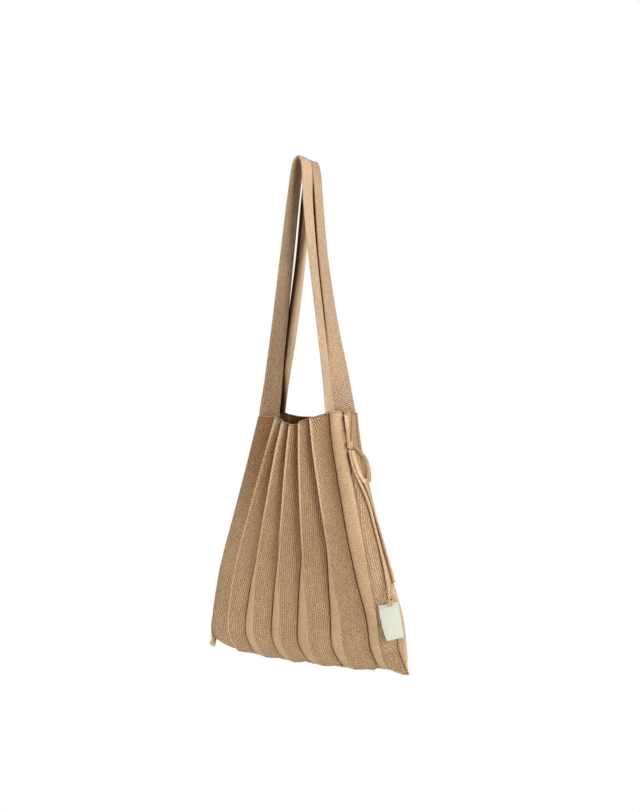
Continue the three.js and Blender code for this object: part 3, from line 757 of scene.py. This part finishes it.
def woven_label(name, material, rows=40, sides=56):
    """The bare label: a thin section, |w/a|^8 + |t/b|^4 = 1, carried up a rectangle with rounded corners,
    bowed over its width, turned out about its right edge by the square of the way down, and laid on the
    side."""
    width, height, thick = LABEL_SIZE
    up = np.linspace(-0.5, 0.5, rows)
    near_end = np.clip((np.abs(up) * height - height / 2 + LABEL_CORNER) / LABEL_CORNER, 0, 1)
    round_in = LABEL_CORNER * (1 - np.sqrt(1 - near_end**2))
    angle = np.linspace(0, 2 * np.pi, sides, endpoint=False) + np.pi / sides
    side = np.sign(np.cos(angle)) * np.abs(np.cos(angle)) ** 0.25
    out = np.sign(np.sin(angle)) * np.abs(np.sin(angle)) ** 0.5
    a = (width / 2 - round_in)[:, None] * side[None]
    b = np.repeat((up * height)[:, None], len(angle), 1)
    n = thick / 2 * out[None] - LABEL_BOW * (2 * a / width) ** 2 + LABEL_BOW / 2
    twist = np.radians(LABEL_TWIST) * (0.5 - b / height) ** 2
    hinge = width / 2
    a, n = hinge + np.cos(twist) * (a - hinge) - np.sin(twist) * n, n - np.sin(twist) * (a - hinge)
    a, b = rotate(a, b, np.radians(LABEL_PLACE["turn"]))
    b, n = rotate(b, n, np.pi / 2 - np.radians(LABEL_PLACE["lean"]))
    a, b = rotate(a, b, np.pi / 2 + np.radians(LABEL_PLACE["facing"]))
    points = np.stack([a, b, n], -1) + np.array(LABEL_PLACE["middle"])
    across = np.append(side, side[0]) * width / 2
    uv = np.stack(np.broadcast_arrays(across[None, :], (up * height)[:, None]), -1)
    return swept_mesh(name, points, uv, material)


# Materials

# Stitches: width of a wale and height of a course in mm, slant of a stitch's legs, lean from wale to wale,
# how deep the wales' edges, their middles and the courses are, and how far the wales wander.
RIB_STITCH = {
    "Wale": 2.5, "Course": 1.9, "Slant": 1.2, "Ribs": 0.62, "Split": 0.0, "Courses": 0.4, "Unrest": 1.8,
}
FINE_STITCH = {"Wale": 1.9, "Course": 1.6, "Slant": 0.9, "Ribs": 0.2, "Split": 0.05, "Courses": 0.3}
BAND_STITCH = {
    "Wale": 2.1, "Course": 2.4, "Slant": 0.0, "Lean": 0.45, "Ribs": 0.3, "Split": 0.05, "Courses": 0.75,
    "Unrest": 1.6,
}
CORD_STITCH = {"Wale": 1.6, "Course": 1.3, "Slant": 0.9, "Ribs": 0.4, "Split": 0.1, "Courses": 0.35}
WEAVE = {"Wale": 0.7, "Course": 0.7, "Slant": 0.0, "Ribs": 0.3, "Split": 0.0, "Courses": 0.3}
GROOVE = (0.2, 0.115, 0.052, 1)
YARN_LIGHT = (0.69, 0.477, 0.284, 1)
STRIP_LIGHT = (0.635, 0.435, 0.257, 1)
BAND_LIGHT = (0.71, 0.525, 0.36, 1)
CORD_GROOVE = (0.26, 0.16, 0.09, 1)
CORD_LIGHT = (0.68, 0.47, 0.29, 1)
KNOT_GROOVE = (0.2, 0.1, 0.04, 1)
KNOT_LIGHT = (0.8, 0.54, 0.32, 1)
LABEL_GROOVE = (0.36, 0.375, 0.31, 1)
LABEL_LIGHT = (0.52, 0.535, 0.455, 1)
# Colours of the painted highlights and of the painted shade, which also colours the rim's stitches, and how
# strong the painted shade is.
RIDGE_LIGHT = (0.9, 0.66, 0.43, 1)
FOLD_DARK = (0.17, 0.067, 0.016, 1)
FOLD_SHADE = 0.75
# Dark of the rim's stitches, relief of the panels' knit in metres, and the colour that painted shade turns to
# beyond its full dark.
RIM_STITCH_SHADE = 0.85
RIB_RELIEF = 0.0014
BLACK = (0.004, 0.002, 0.001, 1)
# Noise: how many of its waves lie on a mm of wandering wales, and on a metre of fibres and of slow shade.
WANDER_SCALE = 0.45
FIBRE_SCALE = 800
SLOW_SCALE = 22


def socket_value(tree, target, value):
    """Puts a number or another node's output into a socket."""
    if isinstance(value, bpy.types.NodeSocket):
        tree.links.new(value, target)
    else:
        target.default_value = value


def calc(tree, operation, *inputs):
    """A Math node."""
    node = tree.nodes.new("ShaderNodeMath")
    node.operation = operation
    for target, value in zip(node.inputs, inputs):
        socket_value(tree, target, value)
    return node.outputs[0]


def blend_colour(tree, share, first, second, kind="MIX"):
    node = tree.nodes.new("ShaderNodeMix")
    node.data_type = "RGBA"
    node.blend_type = kind
    socket_value(tree, node.inputs["Factor"], share)
    socket_value(tree, node.inputs["A"], first)
    socket_value(tree, node.inputs["B"], second)
    return node.outputs["Result"]


VALUE, COLOUR, VECTOR = "NodeSocketFloat", "NodeSocketColor", "NodeSocketVector"
KINDS = {float: VALUE, tuple: COLOUR, type(None): VECTOR}


def new_group(name, inputs, outputs):
    """An empty node group. An input's default says its kind: a value, a colour, or None for a vector."""
    group = bpy.data.node_groups.new(name, "ShaderNodeTree")
    for label, value in inputs.items():
        socket = group.interface.new_socket(label, in_out="INPUT", socket_type=KINDS[type(value)])
        if value is not None:
            socket.default_value = value
    for label, kind in outputs.items():
        group.interface.new_socket(label, in_out="OUTPUT", socket_type=kind)
    return group, group.nodes.new("NodeGroupInput").outputs, group.nodes.new("NodeGroupOutput").inputs


def split_cloth(tree, cloth):
    """The cloth's coordinates across and down."""
    node = tree.nodes.new("ShaderNodeSeparateXYZ")
    tree.links.new(cloth, node.inputs[0])
    return node.outputs["X"], node.outputs["Y"]


def noise(tree, place, scale, detail):
    node = tree.nodes.new("ShaderNodeTexNoise")
    node.inputs["Scale"].default_value = scale
    node.inputs["Detail"].default_value = detail
    tree.links.new(place, node.inputs["Vector"])
    return node.outputs["Fac"]


def knit_group():
    """Knit stitches as a height, 1 at most. A wale falls to its edges by the power 1.5 of the way from its
    middle, and in a thin gap at its middle. Along it the yarn dips once a course, by a cosine, and the dips
    slant up from the middle, as the two legs of a stitch do, or lean on from wale to wale. The wales wander
    by a noise."""
    group, given, put = new_group(
        "knit_stitches",
        {
            "Cloth": None, "Wale": 2.8, "Course": 1.9, "Slant": 0.9, "Lean": 0.0, "Ribs": 0.5, "Split": 0.2,
            "Courses": 0.3, "Unrest": 0.6,
        },
        {"Height": VALUE},
    )
    across, down = split_cloth(group, given["Cloth"])
    wander = noise(group, given["Cloth"], WANDER_SCALE, 1)
    astray = calc(group, "MULTIPLY", calc(group, "SUBTRACT", wander, 0.5), given["Unrest"])
    wale = calc(group, "DIVIDE", calc(group, "ADD", across, astray), given["Wale"])
    from_middle = calc(group, "ABSOLUTE", calc(group, "SUBTRACT", calc(group, "FRACT", wale), 0.5))
    edge = calc(group, "POWER", calc(group, "MULTIPLY", from_middle, 2.0), 1.5)
    gap = calc(group, "MAXIMUM", calc(group, "MULTIPLY_ADD", from_middle, -6.0, 1.0), 0.0)
    course = calc(group, "DIVIDE", down, given["Course"])
    phase = calc(group, "MULTIPLY_ADD", from_middle, given["Slant"], course)
    phase = calc(group, "MULTIPLY_ADD", wale, given["Lean"], phase)
    wave = calc(group, "COSINE", calc(group, "MULTIPLY", phase, 2 * np.pi))
    dip = calc(group, "MULTIPLY_ADD", wave, -0.5, 0.5)
    loss = calc(group, "MULTIPLY", edge, given["Ribs"])
    loss = calc(group, "MULTIPLY_ADD", gap, given["Split"], loss)
    loss = calc(group, "MULTIPLY_ADD", dip, given["Courses"], loss)
    group.links.new(calc(group, "SUBTRACT", 1.0, loss), put["Height"])
    return group


def yarn_group():
    """Colour of knit yarn: dark between the stitches, light on them, with fine fibre noise and slow,
    uneven shade over the cloth."""
    group, given, put = new_group(
        "yarn_colour",
        {"Place": None, "Height": 0.5, "Groove": GROOVE, "Yarn": YARN_LIGHT},
        {"Colour": COLOUR, "Roughness": VALUE},
    )
    fibre = noise(group, given["Place"], FIBRE_SCALE, 2)
    slow = noise(group, given["Place"], SLOW_SCALE, 3)
    lit = calc(group, "MULTIPLY_ADD", fibre, 1.5, -0.76)
    lit = calc(group, "ADD", lit, given["Height"])
    lit = calc(group, "MINIMUM", calc(group, "MAXIMUM", lit, 0.0), 1.0)
    body = blend_colour(group, lit, given["Groove"], given["Yarn"])
    shade = calc(group, "MULTIPLY_ADD", slow, 0.3, 0.85)
    grey = group.nodes.new("ShaderNodeCombineColor")
    for target in grey.inputs[:3]:
        group.links.new(shade, target)
    group.links.new(blend_colour(group, 1.0, body, grey.outputs[0], "MULTIPLY"), put["Colour"])
    group.links.new(calc(group, "MULTIPLY_ADD", fibre, 0.15, 0.8), put["Roughness"])
    return group


KNIT = knit_group()
YARN = yarn_group()


def place_group(tree, group, **values):
    node = tree.nodes.new("ShaderNodeGroup")
    node.node_tree = group
    for label, value in values.items():
        socket_value(tree, node.inputs[label], value)
    return node


def start_material(name):
    """An empty fabric material: its tree, its shader, the object's place and the cloth's own place."""
    material = bpy.data.materials.new(name)
    material.use_nodes = True
    tree = material.node_tree
    shader = tree.nodes["Principled BSDF"]
    shader.inputs["Specular IOR Level"].default_value = 0.04
    shader.inputs["Sheen Weight"].default_value = 0.03
    shader.inputs["Sheen Tint"].default_value = (1, 0.62, 0.32, 1)
    shader.inputs["Sheen Roughness"].default_value = 0.5
    where = tree.nodes.new("ShaderNodeTexCoord")
    cloth = tree.nodes.new("ShaderNodeUVMap")
    cloth.uv_map = "cloth"
    return material, tree, shader, where.outputs["Object"], cloth.outputs["UV"]


def add_bump(tree, shader, height, distance):
    bump = tree.nodes.new("ShaderNodeBump")
    bump.inputs["Strength"].default_value = 1.0
    bump.inputs["Distance"].default_value = distance
    tree.links.new(height, bump.inputs["Height"])
    tree.links.new(bump.outputs["Normal"], shader.inputs["Normal"])


def attribute(tree, name):
    node = tree.nodes.new("ShaderNodeAttribute")
    node.attribute_name = name
    return node.outputs["Fac"]


def stitch_row_group():
    """A row of stitches near the rim as a mask: dashes where the way down is within half a width of a
    level."""
    group, given, put = new_group(
        "stitch_row",
        {"Cloth": None, "Level": 1.0, "Half": 0.5, "Pitch": 2.4, "Dash": 0.55},
        {"Mask": VALUE},
    )
    across, down = split_cloth(group, given["Cloth"])
    away = calc(group, "ABSOLUTE", calc(group, "SUBTRACT", down, given["Level"]))
    row = calc(group, "LESS_THAN", away, given["Half"])
    stitch = calc(group, "FRACT", calc(group, "DIVIDE", across, given["Pitch"]))
    dash = calc(group, "LESS_THAN", stitch, given["Dash"])
    group.links.new(calc(group, "MULTIPLY", row, dash), put["Mask"])
    return group


STITCH_ROW = stitch_row_group()


def fold_tone_group():
    """Colour of folded cloth with painted light and shade: painted highlights on the ridges, in small beads
    along the way down, and along a gleaming crest, and painted shade in the folds, beyond the full dark
    towards black."""
    group, given, put = new_group(
        "fold_tone",
        {
            "Cloth": None, "Colour": YARN_LIGHT, "Ridge": 0.0, "Gleam": 0.0, "Fold": 0.0,
            "Light": RIDGE_LIGHT, "Dark": FOLD_DARK, "Depth": FOLD_SHADE, "Bead": 2.6,
        },
        {"Colour": COLOUR},
    )
    down = split_cloth(group, given["Cloth"])[1]
    turn = calc(group, "MULTIPLY", calc(group, "DIVIDE", down, given["Bead"]), 2 * np.pi)
    beads = calc(group, "MULTIPLY_ADD", calc(group, "SINE", turn), 0.25, 0.8)
    edge = calc(group, "MAXIMUM", calc(group, "MULTIPLY", given["Ridge"], beads), given["Gleam"])
    light = blend_colour(group, edge, given["Colour"], given["Light"])
    shaded = calc(group, "MULTIPLY", given["Fold"], given["Depth"])
    dark = blend_colour(group, shaded, light, given["Dark"])
    deep = calc(group, "MAXIMUM", calc(group, "SUBTRACT", shaded, 1.0), 0.0)
    group.links.new(blend_colour(group, deep, dark, BLACK), put["Colour"])
    return group


PAINTED_LIGHT_AND_SHADE = fold_tone_group()


def finish_cloth(tree, shader, cloth, colour, height, bump):
    """Puts relief and roughness on the shader, and gives the colour with painted highlights on its ridges and
    painted shade in its folds.
    """
    base = place_group(
        tree, PAINTED_LIGHT_AND_SHADE, Cloth=cloth, Colour=colour.outputs["Colour"], Ridge=attribute(tree, "painted_ridge_highlight"),
        Gleam=attribute(tree, "painted_gleam"), Fold=attribute(tree, "painted_shade"),
    ).outputs["Colour"]
    tree.links.new(colour.outputs["Roughness"], shader.inputs["Roughness"])
    add_bump(tree, shader, height, bump)
    return base


def knit_material(name, groove, yarn, bump, **stitch):
    """Knit with one size of stitch all over."""
    material, tree, shader, place, cloth = start_material(name)
    height = place_group(tree, KNIT, Cloth=cloth, **stitch).outputs["Height"]
    colour = place_group(tree, YARN, Place=place, Height=height, Groove=groove, Yarn=yarn)
    base = finish_cloth(tree, shader, cloth, colour, height, bump)
    tree.links.new(base, shader.inputs["Base Color"])
    return material


def panel_material(name):
    """The body's knit: ribbed on the wide faces, fine and smooth on the strips between, with painted
    highlights along the ridges, and a row of stitches along the rim."""
    material, tree, shader, place, cloth = start_material(name)
    smooth = attribute(tree, "smooth_knit")
    rib = place_group(tree, KNIT, Cloth=cloth, **RIB_STITCH).outputs["Height"]
    fine = place_group(tree, KNIT, Cloth=cloth, **FINE_STITCH).outputs["Height"]
    height = calc(tree, "ADD", rib, calc(tree, "MULTIPLY", smooth, calc(tree, "SUBTRACT", fine, rib)))
    yarn = blend_colour(tree, smooth, YARN_LIGHT, STRIP_LIGHT)
    colour = place_group(tree, YARN, Place=place, Height=height, Groove=GROOVE, Yarn=yarn)
    base = finish_cloth(tree, shader, cloth, colour, height, RIB_RELIEF)
    stitches = place_group(tree, STITCH_ROW, Cloth=cloth).outputs["Mask"]
    base = blend_colour(tree, calc(tree, "MULTIPLY", stitches, RIM_STITCH_SHADE), base, FOLD_DARK)
    tree.links.new(base, shader.inputs["Base Color"])
    return material


cloth_knit = panel_material("rib_knit")
band_knit = knit_material("band_knit", GROOVE, BAND_LIGHT, 0.0007, **BAND_STITCH)
cord_knit = knit_material("cord_knit", CORD_GROOVE, CORD_LIGHT, 0.0005, **CORD_STITCH)
knot_knit = knit_material("knot_knit", KNOT_GROOVE, KNOT_LIGHT, 0.0006, **CORD_STITCH)
label_cloth = knit_material("label_weave", LABEL_GROOVE, LABEL_LIGHT, 0.0001, **WEAVE)

# Pieces

for number, side in enumerate(("front", "back")):
    panel = keep(knit_panel(f"knit_panel_{side}", number, cloth_knit), f"panel_{side}")

for side, table in (("front", HANDLE_FRONT), ("back", HANDLE_BACK)):
    handle = band(f"knit_handle_{side}", table, band_knit, side == "front")
    keep(handle, f"handle_{side}")

bow_knot = keep(tie_knot("tie_bow_knot", TIE_KNOT, knot_knit), "tie_knot")
end_knot = keep(tie_knot("tie_end_knot", TAIL_KNOT, knot_knit), "tail_knot")

# The tie's lengths: piece, node, route, half widths at the start and further on, direction of the width at
# the far end, what that end is, and the pieces there.
TIES = [
    ("tie_root_cord", "tie_anchor", TIE_ANCHOR, (3.8, 1.3), ACROSS_SIDE, "knot", [bow_knot]),
    ("tie_loop_cord", "tie_loop", TIE_LOOP, (2.9, 2.6), ACROSS_FRONT, "knot", []),
    ("tie_long_tail", "tie_tail_long", TIE_TAIL_LONG, (1.6, 1.6), ACROSS_SIDE, "knot", [end_knot]),
    ("tie_short_tail", "tie_tail_short", TIE_TAIL_SHORT, (1.6, 1.6), ACROSS_FRONT, "bare", []),
]
for name, node, points, half_widths, far_side, far_end, pieces in TIES:
    cord, middle = tie_cord(name, points, cord_knit, half_widths, far_side)
    keep(cord, node)

label = keep(woven_label("woven_side_label", label_cloth), "side_label")


# Floor, light and camera


def shown_white(tree, lighting, target):
    """Pure white to the camera, and the given shader to every other ray."""
    white = tree.nodes.new("ShaderNodeEmission")
    path = tree.nodes.new("ShaderNodeLightPath")
    choice = tree.nodes.new("ShaderNodeMixShader")
    tree.links.new(path.outputs["Is Camera Ray"], choice.inputs["Fac"])
    tree.links.new(lighting, choice.inputs[1])
    tree.links.new(white.outputs[0], choice.inputs[2])
    tree.links.new(choice.outputs[0], target)


def floor(height, reach, glow):
    """A pale floor that lights the bag from below."""
    mesh = bpy.data.meshes.new("pale_floor")
    corners = [(x * reach, y * reach, height) for x, y in ((-1, -1), (1, -1), (1, 1), (-1, 1))]
    mesh.from_pydata(corners, [], [(0, 1, 2, 3)])
    material = bpy.data.materials.new("pale_floor")
    material.use_nodes = True
    tree = material.node_tree
    shader = tree.nodes["Principled BSDF"]
    shader.inputs["Base Color"].default_value = (0.8, 0.8, 0.8, 1)
    shader.inputs["Roughness"].default_value = 0.9
    shader.inputs["Emission Color"].default_value = (1, 1, 1, 1)
    shader.inputs["Emission Strength"].default_value = glow
    shown_white(tree, shader.outputs[0], tree.nodes["Material Output"].inputs["Surface"])
    mesh.materials.append(material)
    piece = bpy.data.objects.new("pale_floor", mesh)
    bpy.context.scene.collection.objects.link(piece)


def soft_light(name, place, watts):
    """A square area light that faces the bag's middle."""
    lamp = bpy.data.lights.new(name, "AREA")
    lamp.size = LIGHT_SIZE
    lamp.energy = watts
    piece = bpy.data.objects.new(name, lamp)
    piece.location = place
    piece.rotation_euler = (Vector(MIDDLE) - Vector(place)).to_track_quat("-Z", "Y").to_euler()
    bpy.context.scene.collection.objects.link(piece)


def studio_world(ambient):
    """White all round to the camera, and faint light on the bag."""
    world = bpy.data.worlds.new("studio")
    world.use_nodes = True
    tree = world.node_tree
    lighting = tree.nodes["Background"]
    lighting.inputs["Color"].default_value = (1, 1, 1, 1)
    lighting.inputs["Strength"].default_value = ambient
    shown_white(tree, lighting.outputs[0], tree.nodes["World Output"].inputs["Surface"])
    bpy.context.scene.world = world


MIDDLE = (0, 0, -0.35)
LIGHT_SIZE = 0.8
# Each light's place, in metres, and its power in watts.
LIGHTS = {
    "right_back_light": ((1.9, 0.8, 0.3), 42),
    "right_front_light": ((1.9, -0.9, 0.2), 27),
    "front_left_light": ((-0.9, -1.9, 0.2), 23),
    "low_front_light": ((0.3, -1.9, -0.75), 14.5),
    "left_light": ((-2.0, -0.6, 0.2), 13),
    "left_back_light": ((-1.9, 0.9, 0.2), 12),
}
FLOOR = {"height": -0.85, "reach": 8.0, "glow": 0.1}
AMBIENT = 0.03
# The camera looks level, turned this far to the left, in degrees. The image's height and the focal length are
# in pixels, and the sensor in millimetres.
CAMERA_PLACE = (0.4430, -0.9188, -0.281)
CAMERA_TURN = 25
IMAGE_HEIGHT = 812
FOCAL_LENGTH = 891
SENSOR = 36

floor(**FLOOR)
for name, (place, watts) in LIGHTS.items():
    soft_light(name, place, watts)
studio_world(AMBIENT)
bpy.context.scene.view_settings.view_transform = "Standard"

camera_data = bpy.data.cameras.new("photo_camera")
camera_data.sensor_width = SENSOR
camera_data.sensor_fit = "AUTO"
camera_data.lens = SENSOR * FOCAL_LENGTH / IMAGE_HEIGHT
camera = bpy.data.objects.new("photo_camera", camera_data)
camera.location = CAMERA_PLACE
camera.rotation_euler = (np.pi / 2, 0, np.radians(CAMERA_TURN))
bpy.context.scene.collection.objects.link(camera)
bpy.context.scene.camera = camera
